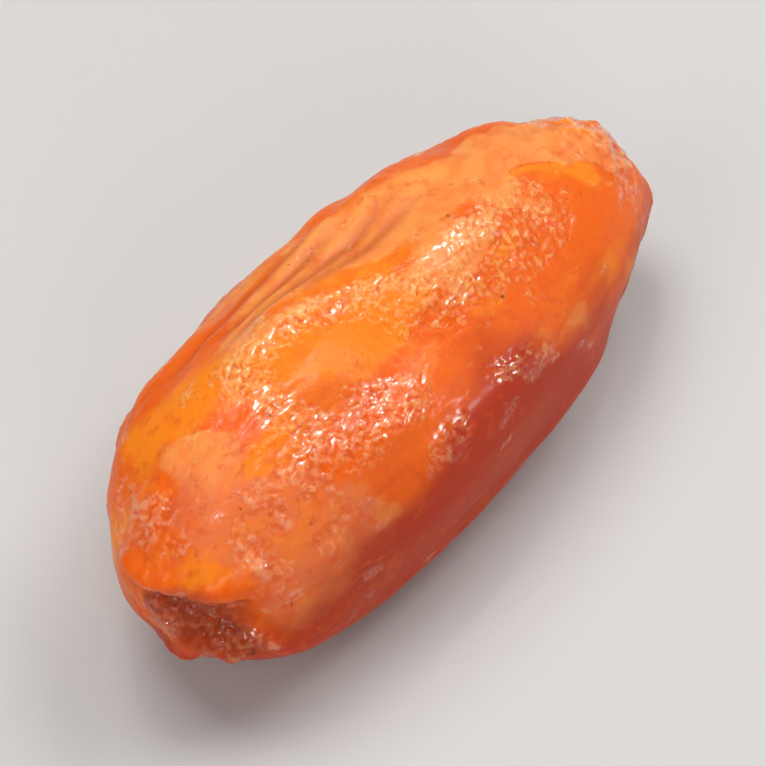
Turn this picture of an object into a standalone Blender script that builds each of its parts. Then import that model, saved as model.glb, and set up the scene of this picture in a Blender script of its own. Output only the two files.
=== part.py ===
"""A golden prune: one whole dried plum, wrinkled and plump, lying on its flattest side.

The fruit is one solid. It starts as a ball of even quads, which is stretched to the plum's egg
shape, creased by named folds, roughened by wrinkles that run mostly along the fruit, and pressed
flat where it lies. +X points to the blossom end, -X to the end that held the stalk, +Z is up, and
the origin is under the middle of the fruit, on the surface it lies on. Metres.
"""

import math

import bmesh
import bpy
import numpy as np
from mathutils import Vector, noise

MM = 0.001

# Driving sizes of the whole fruit
LENGTH = 44.0 * MM
WIDTH = 19.9 * MM
HEIGHT = 18.4 * MM

# The ball of quads: rows along X, rows across, and how far round towards the poles its sides reach
ROWS_ALONG = 46
ROWS_ACROSS = 25
REACH = math.radians(53)

# The egg shape: fuller towards the stalk, a little pointed at the blossom end
EGG = 0.08  # share by which the girth grows at the stalk end and shrinks at the other
BLUNT = 0.86  # 1 is an ellipsoid, less gives fuller ends
BOW = 1.0 * MM  # how far the middle leans towards +Y, so that the fruit is not dead straight

# Where it lies
SINK = 0.8 * MM  # how much of the round belly the weight has pressed flat
SOFT_EDGE = 0.5 * MM  # how gently the flank comes down to the flat

# Wrinkles: height, distance from one to the next across the fruit, stretch along it, and the place
# in the noise that they are read from, which is fixed so that the fruit comes out the same each time
LUMPS = (0.84 * MM, 11.0 * MM, 1.5, (9.6, 3.2, 14.7))
CREASES = (0.52 * MM, 4.4 * MM, 2.4, (1.7, 4.7, 16.0))
CRINKLES = (0.24 * MM, 2.7 * MM, 1.9, (11.6, 1.9, 8.7))
CREASE_SHARPNESS = 2.4  # how steeply the swellings fall to the creases between them
CREASE_ROUNDING = 0.063  # width of the rounded bottom of a crease
CREASE_LEVEL = 0.6  # share of the height that lies below the plain egg
WANDER = (1.2 * MM, 8.0 * MM)  # how far, and over what distance, folds stray from their course
WANDER_SEED = 1

# Smooth taut patches lie between wrinkled ones: their size, and the least and most wrinkling
TAUT_PATCH = 10.0 * MM
TAUT_PLACE = (5.0, 2.0, 8.0)
TAUT_CONTRAST = 1.1
LEAST_WRINKLED = 0.45
MOST_WRINKLED = 1.35

# Folds. Each is a course over the skin as (millimetres along X, degrees round X), then its
# half width and its height in millimetres. 0 degrees is the +Y side, 90 the top, 180 the -Y
# side and 270 the underside. A negative height is a furrow.
FOLDS = {
    "crown ridge": ([(-14, 66), (-8, 72), (-4, 78), (0, 92), (4, 98), (8, 102), (12, 112)], 1.9, 0.8),
    "shoulder hollow": ([(-8, 55), (0, 67), (7, 75), (14, 88)], 2.3, -0.7),
    "middle ridge": ([(-16, 108), (-12, 119), (-9, 123), (-5, 126), (-1, 130)], 1.8, 0.8),
    "red furrow": ([(-8, 108), (-4, 113), (0, 119), (5, 130), (10, 145)], 1.5, -0.8),
    "upper dotted ridge": ([(0, 133), (4, 138), (9, 143)], 1.2, 0.55),
    "dotted ridge": ([(-9, 151), (-5, 152), (-1, 154), (4, 157), (10, 160)], 1.2, 0.85),
    "flank furrow": ([(-13, 148), (-8, 141), (-3, 142), (2, 147), (7, 150)], 1.3, -0.75),
    "low furrow": ([(-13, 172), (-5, 169), (3, 172), (11, 174)], 1.5, -0.8),
    "side pleat 1": ([(-9, 56), (-3, 58), (4, 57), (11, 52)], 0.95, -0.55),
    "side pleat 2": ([(-7, 42), (0, 46), (6, 45), (12, 36)], 0.95, -0.6),
    "side lip": ([(-8, 49), (-1, 52), (6, 51), (13, 44)], 0.9, 0.45),
    "blossom rim": ([(13, 43), (17, 55), (19, 80), (20.4, 112)], 1.1, 0.7),
    "blossom dip": ([(17, 98), (18.6, 122), (18.0, 150)], 1.5, -0.6),
    "chin": ([(-21.4, 215), (-20.4, 204), (-18.8, 195), (-16.5, 188)], 1.4, 0.75),
    "back ridge": ([(-15, -4), (-6, 2), (4, 3), (13, 10)], 1.6, 0.75),
    "back furrow": ([(-17, -19), (-8, -13), (1, -15), (10, -9), (16, -4)], 1.5, -1.1),
    "back pleat": ([(-12, 27), (-4, 31), (5, 26), (12, 29)], 1.0, -0.6),
    "suture": ([(-15, 198), (-9, 192), (-1, 194), (9, 191), (18, 199)], 1.1, -0.9),
    "suture lip": ([(-14, 209), (-9, 205), (0, 208), (9, 206), (16, 212)], 1.3, 0.5),
    "belly furrow": ([(-17, 226), (-11, 232), (-5, 230)], 1.3, -0.7),
}
FOLD_STEPS = 12  # points from one point of a fold's course to the next
FOLD_ENDS = 0.6  # how soon a fold rises from its ends: 1 is slow, less is sooner

# The hollow that the stalk sat in, a slit beside the -X pole, and the skin that hangs over it
HOLLOW = ([(-21.9, 100), (-21.6, 138), (-20.8, 156), (-19.6, 156), (-18.2, 154)], 1.55, -2.7)
LIP = ([(-20.0, 40), (-21.1, 62), (-21.2, 100), (-20.4, 128), (-18.9, 139), (-16.8, 140)], 1.2, 0.6)
OVERHANG = 0.4 * MM  # how far the lip leans out over the slit
PUCKERS = 11  # short pleats that run into the hollow
PUCKER_HEIGHT = 0.25 * MM
PUCKER_REACH = 3.0 * MM  # how far from the middle of the slit they stand highest
PUCKER_SWAY = 1.5  # how unevenly they are spaced, in radians

# The dry point left by the blossom, beside the +X pole
TIP = (20.9, 203)
TIP_RADIUS = 1.8 * MM
TIP_HEIGHT = 1.1 * MM

# How much the last smoothing evens out the quads' corners
SMOOTHING = 0.5

# The flesh: amber, moist and translucent
FLESH_COLOUR = (0.84, 0.17, 0.03, 1.0)
FLESH_ROUGHNESS = 0.32
FLESH_TRANSLUCENCE = 0.6
LIGHT_DEPTH = 2.0 * MM
SYRUP = 0.5


def ball_of_quads():
    """A ball of radius 1, made from a box of quads whose rows are spaced by angle."""
    ball = bmesh.new()
    counts = (ROWS_ALONG, ROWS_ACROSS, ROWS_ACROSS)
    angles = (REACH, math.pi / 4, math.pi / 4)
    corners = {}

    def corner(steps):
        if steps not in corners:
            spread = [
                math.tan((2 * step / count - 1) * angle)
                for step, count, angle in zip(steps, counts, angles)
            ]
            corners[steps] = ball.verts.new(Vector(spread).normalized())
        return corners[steps]

    for axis in range(3):
        first, second = (axis + 1) % 3, (axis + 2) % 3
        for side in (0, counts[axis]):
            for i in range(counts[first]):
                for j in range(counts[second]):
                    loop = []
                    for di, dj in ((0, 0), (1, 0), (1, 1), (0, 1)):
                        steps = [0, 0, 0]
                        steps[axis], steps[first], steps[second] = side, i + di, j + dj
                        loop.append(corner(tuple(steps)))
                    ball.faces.new(loop if side else loop[::-1])
    return ball


def plump(direction):
    """The point and the outward normal of the smooth egg shape in this direction from its middle."""
    along = direction.x
    girth = 1.0 - EGG * along
    round_off = max(1.0 - along * along, 1e-9) ** ((BLUNT - 1.0) / 2)
    point = Vector((
        along * LENGTH / 2,
        direction.y * WIDTH / 2 * girth * round_off + BOW * (1.0 - along * along),
        direction.z * HEIGHT / 2 * girth * round_off,
    ))
    normal = Vector((along / LENGTH, direction.y / WIDTH, direction.z / HEIGHT)).normalized()
    return point, normal


def skin_point(x_mm, degrees):
    """The point of the smooth egg at this place along X and this angle round it."""
    along = x_mm * MM / (LENGTH / 2)
    across = math.sqrt(max(1.0 - along * along, 0.0))
    turn = math.radians(degrees)
    return plump(Vector((along, across * math.cos(turn), across * math.sin(turn))))[0]


def course_of(points):
    """A fold's course as closely spaced points on the skin, each with its share of full height."""
    spots = []
    shares = []
    spans = len(points) - 1
    for step in range(spans * FOLD_STEPS + 1):
        share = step / (spans * FOLD_STEPS)
        span = min(int(share * spans), spans - 1)
        part = share * spans - span
        (x0, turn0), (x1, turn1) = points[span], points[span + 1]
        spots.append(skin_point(x0 + (x1 - x0) * part, turn0 + (turn1 - turn0) * part))
        shares.append(max(math.sin(math.pi * share), 0.0) ** FOLD_ENDS)
    return np.array(spots), np.array(shares)


def fold_lift(places, points, half_width, height):
    """How far one fold lifts the skin at each of these places."""
    spots, shares = course_of(points)
    away = np.linalg.norm(places[:, None] - spots[None], axis=2)
    nearest = away.argmin(axis=1)
    bell = np.exp(-((away.min(axis=1) / (half_width * MM)) ** 2))
    return height * MM * shares[nearest] * bell


def strayed(place):
    """The place moved a little by slow noise, so that what follows a line there wanders."""
    distance, spacing = WANDER
    return place + noise.noise_vector(place / spacing) * distance


def stretched_noise(place, spacing, stretch, origin):
    """Noise between about -1 and 1 whose swellings are longer along X than across it."""
    return noise.noise(Vector((place.x / stretch, place.y, place.z)) / spacing + Vector(origin))


def lump(place):
    """Slow swellings and sags of the whole fruit."""
    height, spacing, stretch, origin = LUMPS
    return height * stretched_noise(place, spacing, stretch, origin)


def crease(place, height, spacing, stretch, origin):
    """Rounded swellings that meet in narrow creases."""
    swell = math.hypot(stretched_noise(place, spacing, stretch, origin), CREASE_ROUNDING)
    return height * (swell * CREASE_SHARPNESS - CREASE_LEVEL)


def wrinkling(place):
    """Share of the wrinkles' height that this patch of skin has."""
    patch = 0.5 + TAUT_CONTRAST * noise.noise(place / TAUT_PATCH + Vector(TAUT_PLACE))
    return LEAST_WRINKLED + (MOST_WRINKLED - LEAST_WRINKLED) * min(max(patch, 0.0), 1.0)


def pucker(place, centre):
    """Short pleats that run into the hollow of the stalk, highest at PUCKER_REACH from its middle."""
    away = place - centre
    turn = math.atan2(away.z, away.y)
    ring = (away.length / PUCKER_REACH) ** 2
    share = math.sqrt(ring) * math.exp((1.0 - ring) / 2)
    return PUCKER_HEIGHT * share * math.cos(PUCKERS * turn + PUCKER_SWAY * math.sin(2 * turn))


def tip_lift(place, centre):
    """The small dry point at the blossom end."""
    return TIP_HEIGHT * math.exp(-(((place - centre).length / TIP_RADIUS) ** 2))


def shape(ball):
    """Moves each corner of the ball to the wrinkled skin of the fruit."""
    plain = [plump(corner.co.normalized()) for corner in ball.verts]
    strays = [strayed(place) for place, _ in plain]
    places = np.array([place for place, _ in plain])
    lip = fold_lift(places, *LIP)
    lifts = lip + fold_lift(places, *HOLLOW)
    for fold in FOLDS.values():
        lifts += fold_lift(np.array(strays), *fold)
    slit = skin_point(*HOLLOW[0][2])
    tip = skin_point(*TIP)
    for corner, (place, normal), spot, lift, hang in zip(ball.verts, plain, strays, lifts, lip):
        lift += lump(spot) + wrinkling(place) * (crease(spot, *CREASES) + crease(spot, *CRINKLES))
        lift += pucker(place, slit) + tip_lift(place, tip)
        lean = (slit - place).normalized() * OVERHANG * hang / (LIP[2] * MM)
        corner.co = place + normal * lift + lean


def lay_down(ball):
    """Presses the underside flat, as the fruit's own weight does, and puts the origin below its middle."""
    floor = min(corner.co.z for corner in ball.verts) + SINK
    for corner in ball.verts:
        above = max(corner.co.z - floor, 0.0)
        corner.co.z = above * above / (above + SOFT_EDGE)
    for axis in (0, 1):
        low = min(corner.co[axis] for corner in ball.verts)
        high = max(corner.co[axis] for corner in ball.verts)
        for corner in ball.verts:
            corner.co[axis] -= (low + high) / 2


def flesh():
    """Syrupy amber flesh under a thin glossy skin."""
    material = bpy.data.materials.new("prune_flesh")
    material.use_nodes = True
    shader = material.node_tree.nodes["Principled BSDF"]
    shader.inputs["Base Color"].default_value = FLESH_COLOUR
    shader.inputs["Roughness"].default_value = FLESH_ROUGHNESS
    shader.inputs["Metallic"].default_value = 0.0
    shader.inputs["Subsurface Weight"].default_value = FLESH_TRANSLUCENCE
    shader.inputs["Subsurface Scale"].default_value = LIGHT_DEPTH
    shader.inputs["Coat Weight"].default_value = SYRUP
    return material


def make_prune():
    """The one object: the whole fruit."""
    noise.seed_set(WANDER_SEED)
    ball = ball_of_quads()
    shape(ball)
    bmesh.ops.smooth_vert(
        ball, verts=ball.verts, factor=SMOOTHING, use_axis_x=True, use_axis_y=True, use_axis_z=True
    )
    lay_down(ball)
    mesh = bpy.data.meshes.new("prune")
    ball.to_mesh(mesh)
    ball.free()
    mesh.shade_smooth()
    mesh.materials.append(flesh())
    prune = bpy.data.objects.new("prune", mesh)
    bpy.context.scene.collection.objects.link(prune)
    return prune


for left_over in list(bpy.data.objects):
    bpy.data.objects.remove(left_over)
make_prune()
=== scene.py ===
# %% [markdown]
# # A golden prune
#
# A prune is a plum that was dried until its skin wrinkled and its flesh turned soft and sweet. This
# one is of the golden kind: amber, translucent and wet with its own syrup. The lesson dresses a
# plain solid of the fruit with its real skin. The solid is loaded first and never moved. It gives
# the size and the place of all that follows, in metres, with +X towards the blossom end and +Z up.

# %% Load the solid
import math

import bpy
import numpy as np
from mathutils import Matrix, Vector, noise


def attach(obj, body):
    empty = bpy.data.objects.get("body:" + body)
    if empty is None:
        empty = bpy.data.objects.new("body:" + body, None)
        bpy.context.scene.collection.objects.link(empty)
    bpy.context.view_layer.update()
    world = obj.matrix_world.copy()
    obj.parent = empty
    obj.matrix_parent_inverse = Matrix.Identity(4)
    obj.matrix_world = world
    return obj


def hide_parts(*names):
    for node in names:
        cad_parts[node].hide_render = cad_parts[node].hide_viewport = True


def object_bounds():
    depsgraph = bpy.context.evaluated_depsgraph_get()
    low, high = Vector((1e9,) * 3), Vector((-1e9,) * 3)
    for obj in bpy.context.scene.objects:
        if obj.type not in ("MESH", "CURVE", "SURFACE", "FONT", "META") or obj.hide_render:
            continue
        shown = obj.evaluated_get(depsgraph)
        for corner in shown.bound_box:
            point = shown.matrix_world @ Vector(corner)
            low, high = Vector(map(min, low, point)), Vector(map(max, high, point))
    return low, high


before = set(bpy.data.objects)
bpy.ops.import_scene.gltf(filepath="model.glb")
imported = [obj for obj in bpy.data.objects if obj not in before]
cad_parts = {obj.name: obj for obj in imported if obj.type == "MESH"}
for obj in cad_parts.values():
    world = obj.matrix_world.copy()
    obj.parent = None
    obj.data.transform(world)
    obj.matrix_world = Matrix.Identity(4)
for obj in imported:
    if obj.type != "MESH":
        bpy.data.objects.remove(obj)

MM = 0.001
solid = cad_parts["prune"]
solid_low, solid_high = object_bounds()
print("the solid measures", [round(side / MM, 2) for side in solid_high - solid_low], "mm")

# %% [markdown]
# ## Tools of the trade
#
# An operator acts on all that is selected, so a small helper deselects everything and then picks
# one object. A second helper adds a modifier, sets it up and applies it at once, as one does by
# hand when each layer of the skin should rest on the layer before it.

# %% Pick one object, and apply one modifier
def pick(thing):
    """Selects this object alone, and makes it the active one."""
    bpy.ops.object.select_all(action="DESELECT")
    thing.select_set(True)
    bpy.context.view_layer.objects.active = thing


def shape_with(thing, kind, **settings):
    """Adds a modifier to the object, sets it up and applies it."""
    pick(thing)
    modifier = thing.modifiers.new(kind.title(), kind)
    for name, value in settings.items():
        setattr(modifier, name, value)
    bpy.ops.object.modifier_apply(modifier=modifier.name)


def coordinates(thing):
    """The corners of the object's mesh as rows of x, y and z, in metres."""
    flat = np.empty(len(thing.data.vertices) * 3)
    thing.data.vertices.foreach_get("co", flat)
    return flat.reshape(-1, 3)


# %% [markdown]
# ## The skin
#
# The skin could be grown from a sphere, but then it would have to be fitted to the solid. So it
# starts as a copy of the solid's surface, which has the fruit's plumpness, its folds, the lip over
# the stalk hollow and the knobbly end. That surface is loose triangles, so they are joined where
# they meet and paired into four-sided faces, which divide more evenly.

# %% Copy and join
JOIN_WITHIN = 0.002 * MM
PAIR_ANGLE = math.radians(70)

skin = bpy.data.objects.new("prune_skin", solid.data.copy())
bpy.context.scene.collection.objects.link(skin)
pick(skin)
bpy.ops.object.mode_set(mode="EDIT")
bpy.ops.mesh.select_all(action="SELECT")
bpy.ops.mesh.remove_doubles(threshold=JOIN_WITHIN)
bpy.ops.mesh.tris_convert_to_quads(face_threshold=PAIR_ANGLE, shape_threshold=PAIR_ANGLE)
bpy.ops.object.mode_set(mode="OBJECT")
print("joined faces:", len(skin.data.polygons))

# %% [markdown]
# ## Finding places on the skin
#
# A place on a long fruit is easy to name by how far it lies along the fruit and at which angle
# round it: 0 degrees is the +Y side, 90 the top, 180 the -Y side. A course is a list of such
# places. Each corner of the mesh gets a share, from 0 to 1, of how near it lies to a course. That
# share becomes a vertex group for the shaping and an attribute for the colouring. A brush could
# paint it by hand, but a course can be read, changed and used twice.

# %% Survey the corners
AXIS_HEIGHT = 0.5 * solid_high.z / MM


def survey():
    """The skin's corners in mm, their angles round the fruit and their distances from its axis."""
    corners = coordinates(skin) / MM
    height = corners[:, 2] - AXIS_HEIGHT
    return corners, np.arctan2(height, corners[:, 1]), np.hypot(corners[:, 1], height)


places, turns, from_axis = survey()
print("corners of the skin:", len(places))

# %% Shares of nearness to a course
COURSE_STEPS = 16


def near(course, half_width, fade_ends=True):
    """Each corner's share of nearness to a course of (mm along, degrees round) points."""
    best = np.zeros(len(places))
    spans = len(course) - 1
    steps = spans * COURSE_STEPS
    for step in range(steps + 1):
        share = step / steps
        span = min(int(share * spans), spans - 1)
        part = share * spans - span
        start, end = course[span], course[span + 1]
        along = start[0] + (end[0] - start[0]) * part
        turn = math.radians(start[1] + (end[1] - start[1]) * part)
        round_by = (turns - turn + math.pi) % (2 * math.pi) - math.pi
        away = np.hypot(places[:, 0] - along, round_by * from_axis) / half_width
        fade = math.sin(math.pi * share) ** 0.5 if fade_ends else 1.0
        best = np.maximum(best, fade * np.exp(-(away**2)))
    return best


def feature(*parts):
    """The shares of several courses added up, each with half its width in mm and its strength."""
    return sum(strength * near(course, half_width) for course, half_width, strength in parts)


# %% Shares as a vertex group
GROUP_LEVELS = 64


def as_group(name, shares):
    """Stores the shares as a vertex group of the skin."""
    group = skin.vertex_groups.new(name=name)
    for level in range(1, GROUP_LEVELS + 1):
        members = np.flatnonzero(np.round(shares * GROUP_LEVELS) == level)
        if len(members):
            group.add(members.tolist(), level / GROUP_LEVELS, "REPLACE")
    return name


# %% [markdown]
# ## Taut places, then a finer mesh
#
# Where the flesh is plump the skin is drawn taut over it. A smoothing brush could do that, and the
# Smooth modifier does the same with a vertex group as its strength, most in the middle of a place.
# Then every face is divided twice, so that the mesh is fine enough to carry wrinkles less than a
# millimetre apart.

# %% Draw the skin taut, then divide it
SMOOTHING = 0.5
TAUT_ROUNDS = 120
SUBDIVISIONS = 2
CHEEK = [(-18, 100), (-17, 122), (-15, 132), (-13, 146), (-11, 162)]
CHEEK_HALF_WIDTH = 2.8

taut = feature(
    ([(-1, 116), (4, 128), (8, 136), (12, 140), (17, 144)], 4.6, 1.0),
    ([(-14, 190), (-5, 178), (4, 174), (12, 172)], 3.6, 0.8),
    (CHEEK, CHEEK_HALF_WIDTH, 0.5),
)
as_group("taut", np.clip(taut, 0, 1))
shape_with(skin, "SMOOTH", factor=SMOOTHING, iterations=TAUT_ROUNDS, vertex_group="taut")
shape_with(skin, "SUBSURF", levels=SUBDIVISIONS, render_levels=SUBDIVISIONS)
places, turns, from_axis = survey()
print("faces of the fine skin:", len(skin.data.polygons))

# %% [markdown]
# ## Where each feature lies
#
# A dried fruit isn't the same all over. A crumpled ridge, the crown, runs along its upper side, with
# a second ridge beside it and short rows of raised dots below. Between them the skin is taut and
# clear, a window onto the amber flesh. Elsewhere a pale bloom dulls it, which is rosy on the cheek,
# and the band along the top that faces the light gets a painted sheen of the same pale colour.
# Each feature is named once, by its courses, so that its shape and its colour lie in the same place.

# %% Ridges that catch the light
crown = feature(
    ([(-12, 59), (-9.6, 71), (-6.6, 73), (-3.1, 81), (-0.5, 95), (0.7, 112)], 1.2, 1.0),
    ([(-10.6, 72), (-10.0, 98), (-9.6, 113)], 1.3, 1.0),
    ([(-0.5, 97), (3, 104), (6.6, 107), (10.2, 113), (13.5, 122)], 2.3, 1.0),
    ([(-2, 101), (0.2, 114), (4.7, 126), (10.4, 133)], 1.0, 0.6),
)
second_ridge = feature(
    ([(-14, 122), (-11.9, 124), (-8.3, 127), (-3.5, 134)], 1.7, 1.0),
    ([(-6.8, 118), (-3, 134)], 1.0, 1.0),
)
stalk_bumps = near([(-18.7, 28), (-19.2, 52), (-19, 71), (-19, 92)], 1.3)
dots = feature(
    ([(1, 148), (3, 158), (4.4, 164), (6.5, 167)], 0.9, 1.0),
    ([(-6.5, 161), (-4, 156), (-2.2, 156)], 0.8, 1.0),
    ([(-17.6, 140), (-17.3, 158)], 0.9, 0.8),
    ([(-17.8, 162), (-16.7, 167)], 0.7, 0.9),
)
back_ridges = feature(
    ([(-13, 352), (-5, 341), (6, 345), (12, 356)], 1.6, 0.8),
    ([(-9, 300), (2, 308), (11, 296)], 1.3, 0.7),
    ([(-16, 15), (-10, 18), (-4, 10)], 1.2, 0.6),
)
print("crown's share of the skin:", round(float(np.clip(crown, 0, 1).mean()), 3))

# %% The two ends
blossom_end = near([(19, 66), (19.7, 92), (20.4, 118), (20, 150)], 2.2, fade_ends=False)
stalk_hollow = np.maximum(
    near([(-21.8, 150), (-21.2, 172), (-20.4, 172)], 1.6, fade_ends=False),
    near([(-22.1, 156), (-21.8, 197), (-20.2, 193)], 1.3, fade_ends=False),
)
print("stalk hollow's share of the skin:", round(float(stalk_hollow.mean()), 3))

# %% Clear, bloomed and rosy places, and the band of painted sheen
window = feature(
    ([(-7.6, 85), (-5, 96), (-1.2, 107)], 1.7, 1.0),
    ([(12.2, 90), (14, 97), (15.8, 108)], 0.3, 0.35),
    ([(16.4, 118), (17.2, 138)], 1.2, 0.5),
    ([(-18.6, 62), (-14, 60), (-11, 66)], 2.4, 0.6),
)
# The band along the top that faces the light, which gets a painted sheen
sheen_band = near([(-8, 53), (0, 62), (8, 70), (14, 84), (19, 105)], 2.9)
cheek = near(CHEEK, CHEEK_HALF_WIDTH)
low_cheek = near([(-19, 168), (-16.8, 167), (-14, 163), (-11, 157)], 2.3)
stalk_bloom = near([(-17.3, 60), (-16.1, 68), (-14.4, 78), (-14, 92)], 2.0)
salmon_patch = near([(-15.5, 66), (-15.2, 84), (-17.4, 97)], 1.5, fade_ends=False)
tip_bloom = near([(16.4, 90), (18.2, 112), (19.4, 132)], 1.2, fade_ends=False)
rosy_end = near([(-20, 60), (-19, 90), (-18, 120)], 4.5)
flank = near([(0, 124), (4, 136), (8, 140), (12, 143), (17, 150)], 4.0)
far_side = near([(-10, 40), (-1, 46), (5, 48), (12, 40)], 3.0)
speck = near([(-14.1, 140.3), (-13.7, 142.3)], 0.30)
print("window's share of the skin:", round(float(window.mean()), 3))

# %% The low side, where shade is painted dark red
# Where the painted shade starts, in mm along the fruit and degrees round it, and the degrees where
# it ends
DARK_FROM = [
    (-20, 176), (-14, 164), (-8, 147), (-3, 138), (2, 139), (5, 148), (8, 158), (11, 167), (17, 182),
]
DARK_TO = 300
# How far it reaches past its two edges, and how wide it fades there, in mm round the skin
REACH_IN = 2.7
FADE_IN = 8.5
REACH_OUT = 3.0
FADE_OUT = 7.5

degrees = np.degrees(turns) % 360
past_start = np.radians(degrees - np.interp(places[:, 0], *zip(*DARK_FROM))) * from_axis
before_end = np.radians(DARK_TO - degrees) * from_axis
shaded_low_side = np.clip((past_start + REACH_IN) / FADE_IN, 0, 1)
shaded_low_side = shaded_low_side * np.clip((before_end + REACH_OUT) / FADE_OUT, 0, 1)
print("low side's share of the skin:", round(float(shaded_low_side.mean()), 3))


# %% Slow noise over the skin
def patches(spacing, origin, contrast, stretch=1.0):
    """Noise whose swells lie this many mm apart, as shares from 0 to 1."""
    offset = Vector(origin)
    found = [
        0.5 + contrast * noise.noise(Vector((x / stretch, y, z)) / spacing + offset)
        for x, y, z in places
    ]
    return np.clip(found, 0.0, 1.0)


# %% [markdown]
# ## Wrinkles
#
# Skin that shrinks over soft flesh buckles into narrow creases with round swellings between them,
# mostly along the fruit. Bump alone would leave the outline smooth, so the mesh itself is wrinkled.
# A cloud texture makes such a pattern when its colour ramp is black in the middle and white at both
# ends: the middle value becomes a net of creases. A Displace modifier reads the texture through an
# empty whose scale sets how far apart the creases lie across and along the fruit. Smooth, taut
# patches stay between the wrinkled ones, by a vertex group.

# %% A texture of creases
def crease_texture(name, sharpness, detail):
    """Clouds whose middle values turn into creases."""
    texture = bpy.data.textures.new(name, "CLOUDS")
    texture.noise_basis = "IMPROVED_PERLIN"
    texture.noise_scale = 1.0
    texture.noise_depth = detail
    texture.use_color_ramp = True
    ramp = texture.color_ramp
    ramp.interpolation = "EASE"
    for end, position in zip(ramp.elements, (0.5 - sharpness, 0.5 + sharpness)):
        end.position = position
        end.color = (1, 1, 1, 1)
    middle = ramp.elements.new(0.5)
    middle.color = (0, 0, 0, 1)
    return texture


# %% A layer of wrinkles
def wrinkle(texture, group, height, spacing, stretch, origin, level=0.6):
    """Displaces the group by a texture whose features are this high and this far apart, in mm."""
    bpy.ops.object.empty_add(type="PLAIN_AXES", location=Vector(origin) * MM)
    ruler = bpy.context.active_object
    ruler.scale = (spacing * stretch * MM, spacing * MM, spacing * MM)
    bpy.context.view_layer.update()
    shape_with(
        skin,
        "DISPLACE",
        texture=texture,
        texture_coords="OBJECT",
        texture_coords_object=ruler,
        strength=height * MM,
        mid_level=level,
        vertex_group=group,
    )
    bpy.data.objects.remove(ruler)
    print(f"{texture.name}: {height} mm high, {spacing} mm apart")


# %% Where the skin sparkles, and where it is wrinkled
# The half of the fruit that faces this way is smoother than the other
SMOOTH_SIDE = math.radians(112)

# Each factor below says how strongly a feature adds to a share, or takes away from it
cheek_specks = 0.6 * cheek * patches(spacing=1.6, origin=(5.5, 1.2, 9.1), contrast=2.2)
sparkle = crown + second_ridge + stalk_bumps + dots + 0.6 * stalk_hollow + 0.8 * blossom_end
sparkle = np.clip(sparkle + back_ridges + cheek_specks, 0, 1)

rough_side = np.clip(0.5 - np.cos(turns - SMOOTH_SIDE), 0, 1)
rough_patches = patches(spacing=6.0, origin=(3.1, 8.4, 1.9), contrast=1.5, stretch=1.5)
wrinkled = 0.12 + (0.25 + 0.6 * rough_side) * rough_patches + 0.35 * sparkle + 0.3 * far_side
wrinkled = wrinkled - 0.6 * window - 0.5 * sheen_band - 0.7 * flank - 0.3 * cheek - 0.3 * shaded_low_side
wrinkled = np.clip(wrinkled, 0.05, 1.0)
as_group("wrinkled", wrinkled)
glinting = sparkle * patches(spacing=1.4, origin=(7.7, 2.2, 4.1), contrast=1.8, stretch=1.4)
as_group("sparkling", glinting)
print("wrinkled share of the skin:", round(float(wrinkled.mean()), 2))

# %% Three layers of wrinkles, and sparks on the ridges
creases = crease_texture("creases", sharpness=0.16, detail=1)
wrinkle(creases, "wrinkled", height=0.20, spacing=2.4, stretch=2.4, origin=(4, 9, 2))
fine_creases = crease_texture("fine creases", sharpness=0.14, detail=1)
wrinkle(fine_creases, "wrinkled", height=0.11, spacing=1.05, stretch=1.9, origin=(7, 1, 5))
crinkles = crease_texture("crinkles", sharpness=0.16, detail=0)
wrinkle(crinkles, "wrinkled", height=0.05, spacing=0.6, stretch=1.3, origin=(2, 6, 8))
sparks = crease_texture("sparks", sharpness=0.2, detail=0)
wrinkle(sparks, "sparkling", height=0.13, spacing=0.55, stretch=1.15, origin=(8, 3, 1))

# %% [markdown]
# ## Pleats, knobs and puckers
#
# Some folds have a place of their own: a few narrow pleats lie along the far side, the blossom end
# has a ring of knobs, and the skin is drawn together round the hollow where the stalk was. Each is
# a vertex group round its course, pushed in or out by a Displace modifier. The mesh is too coarse
# for a pleat less than 0.7 mm wide to show its shade, so the furrows are also remembered, to be
# given painted shade in brown.

# %% Pleats along the far side
# The course, half the width and the height of each, in mm: a negative one is a furrow
PLEATS = [
    ([(-12, 35), (-6, 40), (0, 42), (6, 39), (11, 31)], 0.40, -0.22),
    ([(-8, 48), (-4, 51), (2, 51)], 0.44, -0.18),
    ([(-10, 55), (-4, 59), (2, 61), (8, 57)], 0.50, -0.22),
    ([(-3, 66), (2, 69), (7, 67)], 0.48, -0.14),
    ([(-11, 42), (-4, 45), (3, 46), (8, 42)], 0.40, 0.14),
    ([(-8, 51), (-2, 54), (4, 55)], 0.36, 0.14),
]


def push_out(group, height):
    """Displaces the group along its normals by this many mm, or inwards where it is negative."""
    shape_with(skin, "DISPLACE", strength=height * MM, mid_level=0.0, vertex_group=group)


furrows = np.zeros(len(places))
for number, (course, half_width, height) in enumerate(PLEATS, 1):
    pleat = near(course, half_width)
    push_out(as_group(f"pleat {number}", pleat), height)
    if height < 0:
        furrows = np.maximum(furrows, pleat)
print("pleats:", len(PLEATS))

# %% Knobs and puckers
knobs = bpy.data.textures.new("knobs", "CLOUDS")
knobs.noise_scale = 1.0
knobs.noise_depth = 1
as_group("blossom end", np.clip(blossom_end, 0, 1))
wrinkle(knobs, "blossom end", height=0.75, spacing=1.3, stretch=1.0, origin=(3, 3, 7), level=0.5)
puckers = crease_texture("puckers", sharpness=0.2, detail=1)
as_group("stalk end", np.clip(stalk_hollow, 0, 1))
wrinkle(puckers, "stalk end", height=0.18, spacing=1.0, stretch=1.0, origin=(1, 5, 3))

# %% [markdown]
# ## The lip over the stalk hollow
#
# Where the stalk was pulled out, the skin stands up as a ragged lip over the hollow. A lip could be
# extruded, but the solid has one already, and it only needs to be sharper. So the skin is raised
# along the lip's edge, unevenly by slow noise, and pushed in along a groove just under it.

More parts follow.
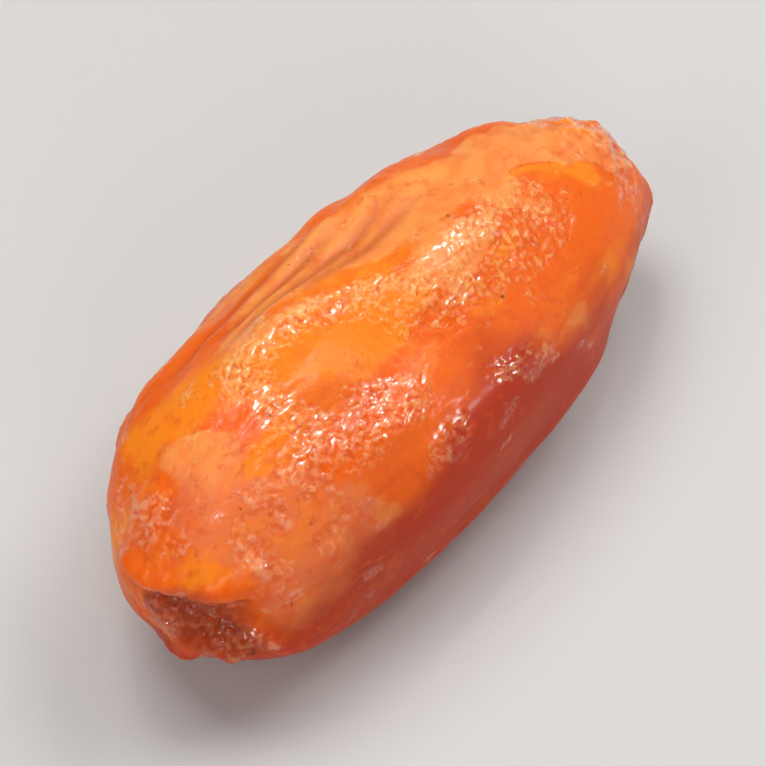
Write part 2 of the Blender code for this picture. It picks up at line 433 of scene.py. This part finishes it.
# %% The lip and its groove
LIP = [
    (-21.1, 2.2, 10.7), (-21.6, 0.7, 10.9), (-21.6, -0.8, 11.1), (-21.0, -1.9, 11.0),
    (-20.8, -3.3, 11.3), (-20.0, -4.1, 11.4), (-18.9, -4.7, 11.9), (-18.0, -4.9, 12.3),
]
LIP_HALF_WIDTH = 0.65
LIP_RISE = 0.60
LIP_LEAST_SHARE = 0.45
GROOVE_INWARDS = 0.2
GROOVE_DROP = 1.3
GROOVE_HALF_WIDTH = 0.6
GROOVE_DEPTH = 0.5


def near_line(points, half_width):
    """Each corner's share of nearness to a line through points in mm."""
    best = np.zeros(len(places))
    for start, end in zip(points[:-1], points[1:]):
        start, end = np.array(start), np.array(end)
        step = end - start
        along = np.clip((places - start) @ step / (step @ step), 0, 1)
        away = np.linalg.norm(places - start - along[:, None] * step, axis=1) / half_width
        best = np.maximum(best, np.exp(-(away**2)))
    return best


tatters = patches(spacing=1.3, origin=(4, 4, 8), contrast=1.6)
raggedness = LIP_LEAST_SHARE + (1 - LIP_LEAST_SHARE) * tatters
groove = [(x + GROOVE_INWARDS, y, z - GROOVE_DROP) for x, y, z in LIP]
as_group("lip", near_line(LIP, LIP_HALF_WIDTH) * raggedness)
as_group("groove", near_line(groove, GROOVE_HALF_WIDTH))
push_out("lip", LIP_RISE)
push_out("groove", -GROOVE_DEPTH)
print("lip raised by", LIP_RISE, "mm, groove", GROOVE_DEPTH, "mm deep")

# %% [markdown]
# ## On the table
#
# A wrinkle under the fruit can't reach into the table: the soft flesh gives way. So each corner that
# came out below the table is lifted to it. A modifier has no such stop, and moving the corners
# themselves is the direct way.

# %% Lift what went below the table
corners = coordinates(skin)
print("corners below the table:", int((corners[:, 2] < 0).sum()))
corners[:, 2] = np.maximum(corners[:, 2], 0.0)
skin.data.vertices.foreach_set("co", corners.ravel())
skin.data.update()

# %% [markdown]
# ## What the colours need to know
#
# The folds and creases get painted shade, and the ridges catch the light. To tell them apart, a copy
# of the skin is smoothed until its wrinkles are gone. How far the real skin stands above that copy
# is stored as an attribute, once for broad folds and once for fine creases. The shares of the
# features are stored too. An attribute belongs to its corner, so the colours stay on their folds.

# %% Measure the relief
FOLD_ROUNDS = 240
CREASE_ROUNDS = 12


def relief_against(rounds):
    """How far each corner stands above a copy that was smoothed so many rounds, in mm."""
    calm = bpy.data.objects.new("calm", skin.data.copy())
    bpy.context.scene.collection.objects.link(calm)
    shape_with(calm, "SMOOTH", factor=SMOOTHING, iterations=rounds)
    normals = np.empty(len(skin.data.vertices) * 3)
    calm.data.vertices.foreach_get("normal", normals)
    rise = coordinates(skin) - coordinates(calm)
    bpy.data.objects.remove(calm)
    return (rise * normals.reshape(-1, 3)).sum(axis=1) / MM


folds = relief_against(FOLD_ROUNDS)
wrinkles = relief_against(CREASE_ROUNDS)
print("folds stand up to", round(float(folds.max()), 2), "mm above their surroundings")

# %% Store the attributes
clear_window = np.clip(window - 0.55 * salmon_patch - 0.3 * tip_bloom, 0, 1)
# Real pale bloom, plus painted sheen on the band that faces the light and under the crown's glints
bloom_and_sheen_places = (
    sheen_band + cheek + low_cheek + stalk_bloom + 0.8 * salmon_patch + 0.8 * tip_bloom
    + 0.6 * crown + 0.15 * blossom_end - 0.5 * flank - 1.5 * clear_window
)
rosy = (
    cheek + 1.2 * low_cheek - 0.7 * salmon_patch + 0.6 * second_ridge + 0.6 * blossom_end
    + 1.3 * rosy_end
)
ATTRIBUTES = {
    "fold": folds,
    "wrinkle": wrinkles,
    "window": clear_window,
    "bloom_and_sheen": np.clip(bloom_and_sheen_places, 0, 1),
    "rose": np.clip(rosy, 0, 1),
    "flank": np.clip(flank, 0, 1),
    "stalk": np.clip(stalk_hollow, 0, 1),
    "sparkle": sparkle,
    "shaded_low_side": shaded_low_side,
    "furrow": furrows,
    "speck": speck,
}
for name, values in ATTRIBUTES.items():
    layer = skin.data.attributes.new(name, "FLOAT", "POINT")
    layer.data.foreach_set("value", np.asarray(values, np.float32))
    print(name, "from", round(float(np.min(values)), 2), "to", round(float(np.max(values)), 2))

# %% Shade it smooth
pick(skin)
bpy.ops.object.shade_smooth()
triangles = sum(len(face.vertices) - 2 for face in skin.data.polygons)
print("triangles of the skin:", triangles)

# %% [markdown]
# ## The flesh's finish
#
# Dried plum flesh is translucent: light goes in, scatters some millimetres and comes out redder.
# The colour changes over the fruit: amber where the skin is thin, peach or rose where it is
# bloomed, with the same peach as a painted sheen on the band that faces the light. Painted shade
# makes the creases red, the pleat furrows brown and the low side dark red, and painted highlights
# make the bead tops pale. The stalk hollow is brown, and there are small dark freckles. One painted
# picture could hold all that, but nodes are sharp at any distance. So each colour is laid over the
# last one by its own mask: an attribute, broken up by patches of noise.

# %% Helpers for nodes
def add_node(tree, kind, sockets=None, **settings):
    """Adds a node, with its settings, and a value or a link for each socket named."""
    made = tree.nodes.new(kind)
    for name, value in settings.items():
        setattr(made, name, value)
    for name, value in (sockets or {}).items():
        if isinstance(value, bpy.types.NodeSocket):
            tree.links.new(value, made.inputs[name])
        else:
            made.inputs[name].default_value = value
    return made


def math_node(tree, operation, first, second):
    """One sum on two values."""
    return add_node(tree, "ShaderNodeMath", {0: first, 1: second}, operation=operation).outputs[0]


def ramp_from(tree, value, low, high):
    """0 where the value is at or below low, 1 where it is at or above high."""
    sockets = {"Value": value, "From Min": low, "From Max": high}
    ramp = add_node(tree, "ShaderNodeMapRange", sockets, interpolation_type="SMOOTHSTEP")
    return ramp.outputs["Result"]


# %% [markdown]
# ## A group for patches
#
# Almost every mask of the fruit is made in the same way: noise, longer along the fruit than across
# it, with a threshold. So that is a node group, built once and placed many times, each with its own
# values. Its Lean socket adds to the noise, and so draws the patches to where an attribute is high.

# %% The group
def patch_group():
    """Patches of stretched noise, as a mask with an edge as soft as wanted."""
    tree = bpy.data.node_groups.new("patches", "ShaderNodeTree")
    face = tree.interface
    face.new_socket("Place", in_out="INPUT", socket_type="NodeSocketVector")
    for name in ("Per Metre", "Stretch", "Detail", "Low", "High", "Lean"):
        face.new_socket(name, in_out="INPUT", socket_type="NodeSocketFloat")
    face.new_socket("Mask", in_out="OUTPUT", socket_type="NodeSocketFloat")
    inside = tree.nodes.new("NodeGroupInput").outputs
    shorten = math_node(tree, "DIVIDE", 1.0, inside["Stretch"])
    squeeze = add_node(tree, "ShaderNodeCombineXYZ", {"X": shorten, "Y": 1.0, "Z": 1.0}).outputs[0]
    squeezed = add_node(
        tree, "ShaderNodeVectorMath", {0: inside["Place"], 1: squeeze}, operation="MULTIPLY"
    ).outputs[0]
    clouds = add_node(
        tree,
        "ShaderNodeTexNoise",
        {"Vector": squeezed, "Scale": inside["Per Metre"], "Detail": inside["Detail"]},
    ).outputs["Fac"]
    leant = math_node(tree, "ADD", clouds, inside["Lean"])
    mask = ramp_from(tree, leant, inside["Low"], inside["High"])
    leave = tree.nodes.new("NodeGroupOutput")
    tree.links.new(mask, leave.inputs["Mask"])
    return tree


PATCHES = patch_group()
print("nodes in the group:", len(PATCHES.nodes))

# %% Start the flesh
flesh = bpy.data.materials.new("prune_flesh")
flesh.use_nodes = True
tree = flesh.node_tree
shader = tree.nodes["Principled BSDF"]
place = add_node(tree, "ShaderNodeTexCoord").outputs["Object"]
at = {
    name: add_node(tree, "ShaderNodeAttribute", attribute_name=name).outputs["Fac"]
    for name in ATTRIBUTES
}
print("attributes that the flesh reads:", ", ".join(at))


# %% Sums on the flesh's values
def times(first, second):
    """The first value times the second."""
    return math_node(tree, "MULTIPLY", first, second)


def plus(first, second):
    """The first value plus the second."""
    return math_node(tree, "ADD", first, second)


def minus(first, second):
    """The first value less the second."""
    return math_node(tree, "SUBTRACT", first, second)


def larger(first, second):
    """The larger of two values."""
    return math_node(tree, "MAXIMUM", first, second)


def leaning(value, from_share, strength):
    """Draws patches to where the value is above the share, and away from where it is below."""
    return times(minus(value, from_share), strength)


# %% Masks and layers of colour
def patch_mask(spacing, edge, stretch, detail, shift=(0, 0, 0), lean=None):
    """A mask of patches this many mm apart, with its edge between two values of the noise."""
    shifted = add_node(
        tree, "ShaderNodeVectorMath", {0: place, 1: [side * MM for side in shift]}, operation="ADD"
    ).outputs[0]
    low, high = edge
    sockets = {
        "Place": shifted,
        "Per Metre": 1 / (spacing * MM),
        "Stretch": stretch,
        "Detail": detail,
        "Low": low,
        "High": high,
    }
    if lean is not None:
        sockets["Lean"] = lean
    return add_node(tree, "ShaderNodeGroup", sockets, node_tree=PATCHES).outputs["Mask"]


def covered(colour, share, top):
    """The colour with the top colour over it, by this share."""
    sockets = {"Factor": share, "A": colour, "B": top}
    return add_node(tree, "ShaderNodeMix", sockets, data_type="RGBA").outputs["Result"]


# %% Colours of the flesh
ORANGE = (0.84, 0.142, 0.006, 1)
AMBER = (0.92, 0.250, 0.010, 1)
# Peach and rose: the bloom's colours, also laid on as painted sheen
PEACH = (0.91, 0.365, 0.095, 1)
ROSE = (0.76, 0.185, 0.070, 1)
RED = (0.68, 0.095, 0.012, 1)
# Dark red for the painted shade on the low side
LOW_SIDE_SHADE_RED = (0.42, 0.018, 0.002, 1)
BROWN = (0.36, 0.040, 0.008, 1)
# Brown for the painted shade in the pleat furrows
FURROW_SHADE = (0.50, 0.060, 0.008, 1)
# Pale yellow and pale rose for the highlights painted on the bead tops
PAINTED_GLINT = (0.97, 0.62, 0.26, 1)
PAINTED_GLINT_ROSE = (0.93, 0.48, 0.30, 1)
FRECKLE = (0.10, 0.018, 0.008, 1)

# %% Orange and amber, red in patches and as painted shade in the folds
FOLD_SHADE_SHARE = 0.6
RED_IN_PATCHES = 0.5

to_window = leaning(at["window"], from_share=0.15, strength=0.36)
mottle = patch_mask(spacing=5.0, edge=(0.46, 0.58), stretch=1.8, detail=4.0, lean=to_window)
colour = covered(ORANGE, mottle, AMBER)
from_clear = leaning(larger(at["flank"], at["window"]), from_share=0.1, strength=-0.3)
reddened = patch_mask(
    spacing=4.5, edge=(0.50, 0.66), stretch=2.2, detail=4.0, shift=(9, 41, 3), lean=from_clear
)
# Painted shade: the deeper the fold, the more red is painted
fold_depth = plus(times(at["fold"], -1.0), times(at["window"], -1.0))
fold_shade = ramp_from(tree, fold_depth, low=0.05, high=0.5)
red_patches_and_fold_shade = larger(times(fold_shade, FOLD_SHADE_SHARE), times(reddened, RED_IN_PATCHES))
colour = covered(colour, red_patches_and_fold_shade, RED)

# %% The bloom and the painted sheen, thicker here and thinner there
BLOOM_AND_SHEEN_LEAST = 0.45
BLOOM_AND_SHEEN_MORE = 0.35
LESS_BLOOM_AND_SHEEN_IN_WINDOW = 0.25

to_bloom_and_sheen = leaning(at["bloom_and_sheen"], from_share=0.35, strength=0.32)
to_bloom_and_sheen = minus(to_bloom_and_sheen, times(at["window"], LESS_BLOOM_AND_SHEEN_IN_WINDOW))
bloom_and_sheen = patch_mask(
    spacing=3.2, edge=(0.50, 0.58), stretch=1.7, detail=6.0, shift=(31, 7, 12), lean=to_bloom_and_sheen
)
bloom_and_sheen_colour = covered(PEACH, at["rose"], ROSE)
thickness = patch_mask(spacing=1.2, edge=(0.35, 0.65), stretch=1.4, detail=3.0, shift=(2, 17, 9))
bloom_and_sheen_share = times(bloom_and_sheen, plus(times(thickness, BLOOM_AND_SHEEN_MORE), BLOOM_AND_SHEEN_LEAST))
colour = covered(colour, bloom_and_sheen_share, bloom_and_sheen_colour)

# %% Painted shade: red creases, brown furrows and a dark red low side; and a brown hollow
CREASE_DEPTH = 0.05
CREASE_SHADE_LEAST = 0.35
CREASE_SHADE_MORE_ON_RIDGES = 0.35
FURROW_SHADE_SHARE = 0.60
LOW_SIDE_SHADE_SHARE = 0.88
HOLLOW_SHARE = 0.85

# Painted shade: red in the fine creases, more on the sparkling ridges
crease_shade = ramp_from(tree, times(at["wrinkle"], -1.0), low=0.0, high=CREASE_DEPTH)
crease_shade_share = times(crease_shade, plus(times(at["sparkle"], CREASE_SHADE_MORE_ON_RIDGES), CREASE_SHADE_LEAST))
colour = covered(colour, crease_shade_share, RED)
# Painted shade: the low side is laid over with dark red, in patches
to_low_side_shade = leaning(at["shaded_low_side"], from_share=0.42, strength=0.80)
low_side_shade = patch_mask(
    spacing=4.0, edge=(0.34, 0.76), stretch=2.0, detail=4.0, shift=(3, 12, 44), lean=to_low_side_shade
)
# Painted shade: the pleat furrows are laid over with brown
colour = covered(colour, times(at["furrow"], FURROW_SHADE_SHARE), FURROW_SHADE)
colour = covered(colour, times(low_side_shade, LOW_SIDE_SHADE_SHARE), LOW_SIDE_SHADE_RED)
in_hollow = ramp_from(tree, at["stalk"], low=0.2, high=0.8)
colour = covered(colour, times(in_hollow, HOLLOW_SHARE), BROWN)

# %% Grain, freckles and one dark speck
GRAIN_SHARE = 0.5
MARK_SHARE = 0.7

grains = patch_mask(spacing=0.6, edge=(0.50, 0.64), stretch=1.2, detail=6.0, shift=(5, 5, 5))
to_rose = leaning(at["rose"], from_share=0.2, strength=0.12)
grainy = patch_mask(
    spacing=2.6, edge=(0.42, 0.60), stretch=1.3, detail=3.0, shift=(15, 25, 5), lean=to_rose
)
colour = covered(colour, times(times(grains, grainy), GRAIN_SHARE), RED)
freckles = patch_mask(spacing=0.6, edge=(0.77, 0.80), stretch=1.0, detail=1.0, shift=(8, 5, 5))
blots = patch_mask(spacing=0.5, edge=(0.42, 0.56), stretch=1.0, detail=3.0, shift=(2, 5, 8))
at_speck = ramp_from(tree, at["speck"], low=0.30, high=0.9)
dark_marks = larger(freckles, times(at_speck, blots))
colour = covered(colour, times(dark_marks, MARK_SHARE), FRECKLE)
print("nodes for the colours:", len(tree.nodes))

# %% [markdown]
# ## Sparkling patches
#
# On the crumpled ridges the syrup stands in beads, and each bead shows a tiny glint with a pale
# edge. The wrinkles of the mesh make the larger ones. The smaller ones are a fine noise: it raises
# the surface through a Bump node, and its tops get a painted highlight in a pale colour. The patches
# are also less rough and have more of the clear coat. In the hollow and on the low side little light
# arrives, so less highlight is painted on the beads there.

# %% Beads, and the highlights painted on their tops
BEAD_SPACING = 0.45
PAINTED_GLINT_SHARE = 0.40
LESS_GLINT_PAINT_IN_HOLLOW = 0.8
LESS_GLINT_PAINT_ON_LOW_SIDE = 0.5

to_sparkle = leaning(at["sparkle"], from_share=0.40, strength=0.40)
sparkling = patch_mask(
    spacing=1.5, edge=(0.46, 0.56), stretch=1.5, detail=3.0, shift=(17, 2, 23), lean=to_sparkle
)
bead_sockets = {"Vector": place, "Scale": 1 / (BEAD_SPACING * MM), "Detail": 1.0, "Roughness": 0.5}
beads = add_node(tree, "ShaderNodeTexNoise", bead_sockets).outputs["Fac"]
on_ridge = ramp_from(tree, at["wrinkle"], low=0.0, high=CREASE_DEPTH)
on_top = larger(on_ridge, ramp_from(tree, beads, low=0.46, high=0.74))
dim = larger(times(at["stalk"], LESS_GLINT_PAINT_IN_HOLLOW), times(at["shaded_low_side"], LESS_GLINT_PAINT_ON_LOW_SIDE))
painted_glint_most = minus(PAINTED_GLINT_SHARE, times(dim, PAINTED_GLINT_SHARE))
# Painted highlight: the bead tops are laid over with a pale colour
painted_glint_share = times(on_top, times(sparkling, painted_glint_most))
colour = covered(colour, painted_glint_share, covered(PAINTED_GLINT, at["rose"], PAINTED_GLINT_ROSE))
tree.links.new(colour, shader.inputs["Base Color"])

# %% [markdown]
# ## Translucency and gloss
#
# Light that scatters in the flesh is subsurface scattering, with a longer reach for red than for
# green and blue. The syrup is the shader's clear coat. A value that is the same all over the fruit
# is set on the shader's own socket. Roughness and coat follow the patches: the bloom is duller, the
# beads are glossier, and the low side is duller too.

# %% Translucency and gloss
SHADER_VALUES = {
    "Subsurface Weight": 0.8,
    "Subsurface Radius": (1.0, 0.25, 0.06),
    "Subsurface Scale": 3.0 * MM,
    "IOR": 1.40,
    "Specular IOR Level": 0.28,
    "Coat Roughness": 0.15,
    "Coat IOR": 1.5,
}
CLEAR_ROUGHNESS = 0.36
BLOOM_ROUGHNESS = 0.46
SPARKLE_SMOOTHER = 0.24
LOW_SIDE_ROUGHER = 0.15
SYRUP_LEAST = 0.05
SYRUP_ON_BEADS = 0.6

for name, value in SHADER_VALUES.items():
    shader.inputs[name].default_value = value
roughness_sockets = {"Value": bloom_and_sheen, "To Min": CLEAR_ROUGHNESS, "To Max": BLOOM_ROUGHNESS}
roughness = add_node(tree, "ShaderNodeMapRange", roughness_sockets).outputs["Result"]
roughness = minus(roughness, times(sparkling, SPARKLE_SMOOTHER))
roughness = plus(roughness, times(at["shaded_low_side"], LOW_SIDE_ROUGHER))
tree.links.new(roughness, shader.inputs["Roughness"])
tree.links.new(plus(times(sparkling, SYRUP_ON_BEADS), SYRUP_LEAST), shader.inputs["Coat Weight"])

# %% Fine relief
BEAD_HEIGHT = 0.20 * MM
GRIT_SHARE = 0.28
LESS_GRIT_ON_LOW_SIDE = 0.20

grit = minus(beads, 0.5)
grit_share = minus(GRIT_SHARE, times(at["shaded_low_side"], LESS_GRIT_ON_LOW_SIDE))
grit_height = times(grit, plus(sparkling, grit_share))
bump_sockets = {"Strength": 1.0, "Distance": BEAD_HEIGHT, "Height": grit_height}
bump = add_node(tree, "ShaderNodeBump", bump_sockets)
tree.links.new(bump.outputs["Normal"], shader.inputs["Normal"])
skin.data.materials.clear()
skin.data.materials.append(flesh)
print("nodes in the flesh:", len(tree.nodes))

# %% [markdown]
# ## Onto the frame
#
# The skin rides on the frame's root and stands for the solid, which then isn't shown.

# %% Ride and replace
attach(skin, "root")
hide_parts("prune")

# %% [markdown]
# ## The stage
#
# The fruit lies on a plain pale table under soft studio light. The camera looks down 55 degrees.
# A short lens up close would draw the near end larger than the far one, so the lens is a long one.

# %% Table
TABLE_SIDE = 6.0
TABLE_COLOUR = (0.55, 0.55, 0.555, 1)
TABLE_ROUGHNESS = 0.6

bpy.ops.mesh.primitive_plane_add(size=TABLE_SIDE, location=(0, 0, 0))
table = bpy.context.active_object
table.name = "table"
paint = bpy.data.materials.new("white_table")
paint.use_nodes = True
paint_shader = paint.node_tree.nodes["Principled BSDF"]
paint_shader.inputs["Base Color"].default_value = TABLE_COLOUR
paint_shader.inputs["Roughness"].default_value = TABLE_ROUGHNESS
table.data.materials.append(paint)
print("table:", TABLE_SIDE, "m wide")

# %% Camera
CAMERA_AZIMUTH = math.radians(-52)
CAMERA_ELEVATION = math.radians(55)
LENS = 290.0
SENSOR = 36.0
NEAREST_SEEN = 0.01
# The view is a square of so many pixels of the picture, each as large on the fruit as this
PIXEL_ON_FRUIT = 0.1765 * MM
VIEW_PIXELS = 260
AIM_RIGHT_PIXELS = 1.03
AIM_UP_PIXELS = -7.0

sin_a, cos_a = math.sin(CAMERA_AZIMUTH), math.cos(CAMERA_AZIMUTH)
sin_e, cos_e = math.sin(CAMERA_ELEVATION), math.cos(CAMERA_ELEVATION)
back = Vector((sin_a * cos_e, -cos_a * cos_e, sin_e))
right = Vector((cos_a, sin_a, 0))
up = back.cross(right)
middle = (solid_low + solid_high) / 2
aim = middle + right * (AIM_RIGHT_PIXELS * PIXEL_ON_FRUIT) + up * (AIM_UP_PIXELS * PIXEL_ON_FRUIT)
distance = VIEW_PIXELS * PIXEL_ON_FRUIT * LENS / SENSOR
camera_data = bpy.data.cameras.new("camera")
camera_data.lens = LENS
camera_data.sensor_width = SENSOR
camera_data.clip_start = NEAREST_SEEN
camera = bpy.data.objects.new("camera", camera_data)
bpy.context.scene.collection.objects.link(camera)
facing = Matrix((right, up, back)).transposed().to_4x4()
camera.matrix_world = Matrix.Translation(aim + back * distance) @ facing
bpy.context.scene.camera = camera
print("camera distance:", round(distance, 3), "m")

# %% [markdown]
# ## Light
#
# The light on the real fruit is broad and soft, yet its syrup shows many small bright glints. A
# broad lamp alone gives a dull sheen, and a small one alone gives hard shadows, so the work is
# shared. Two softboxes give light and sheen. Four soft lamps only brighten, and don't show in the
# gloss. Six small sparks only show in the gloss, and light nothing else. None of them is seen by
# the camera.

# %% Softboxes
# Name, way, distance and size in m, and watts: a way has shares of up, right and back for the camera
KEYS = [
    ("left key", (0.75, -0.25, 0.5), 0.8, (0.5, 0.35), 0.9),
    ("right key", (0.8, 0.5, 0.35), 0.9, (0.4, 0.4), 0.7),
]


def softbox(name, way, distance, size, watts, colour=(1, 1, 1)):
    """An area light that looks at the fruit and doesn't show in the picture itself."""
    data = bpy.data.lights.new(name, "AREA")
    data.shape = "RECTANGLE"
    data.size, data.size_y = size
    data.energy = watts
    data.color = colour
    lamp = bpy.data.objects.new(name, data)
    towards = (up * way[0] + right * way[1] + back * way[2]).normalized()
    turned = towards.to_track_quat("Z", "Y").to_matrix().to_4x4()
    lamp.matrix_world = Matrix.Translation(middle + towards * distance) @ turned
    lamp.visible_camera = False
    bpy.context.scene.collection.objects.link(lamp)
    return lamp


for name, way, distance, size, watts in KEYS:
    softbox(name, way, distance, size, watts)
print("keys:", len(KEYS))

# %% Soft lamps that don't show in the gloss
SOFT_DISTANCE = 0.85
SOFT_SIZE = (0.5, 0.5)
SOFT_COLOUR = (1.0, 0.97, 0.93)
SOFT_LAMPS = [
    ("left soft", (0.75, -0.2, 0.6), 2.9),
    ("right soft", (0.75, 0.5, 0.4), 3.1),
    ("fill", (-0.45, 0.3, 0.85), 2.2),
    ("left fill", (-0.1, -0.6, 0.8), 1.8),
]

for name, way, watts in SOFT_LAMPS:
    softbox(name, way, SOFT_DISTANCE, SOFT_SIZE, watts, SOFT_COLOUR).visible_glossy = False
print("soft lamps:", len(SOFT_LAMPS))

# %% Sparks that show in the gloss alone
SPARK_DISTANCE = 0.8
SPARK_SIZE = (0.045, 0.045)
SPARKS = [
    ("spark", (0.75, -0.1, 0.6), 2.0),
    ("rear spark", (1.0, 0.25, 0.25), 2.0),
    ("near spark", (0.3, -0.35, 0.9), 0.9),
    ("side spark", (0.12, 0.92, 0.33), 1.1),
    ("low spark", (-0.45, -0.3, 0.85), 0.8),
    ("crown spark", (0.68, 0.6, 0.38), 1.3),
]

for name, way, watts in SPARKS:
    softbox(name, way, SPARK_DISTANCE, SPARK_SIZE, watts).visible_diffuse = False
print("sparks:", len(SPARKS))

# %% The room
ROOM_LIGHT = 0.14

world = bpy.data.worlds.new("studio")
bpy.context.scene.world = world
world.use_nodes = True
room = world.node_tree.nodes["Background"]
room.inputs["Color"].default_value = (1, 1, 1, 1)
room.inputs["Strength"].default_value = ROOM_LIGHT
bpy.context.scene.view_settings.view_transform = "Standard"
print("light of the room:", ROOM_LIGHT)
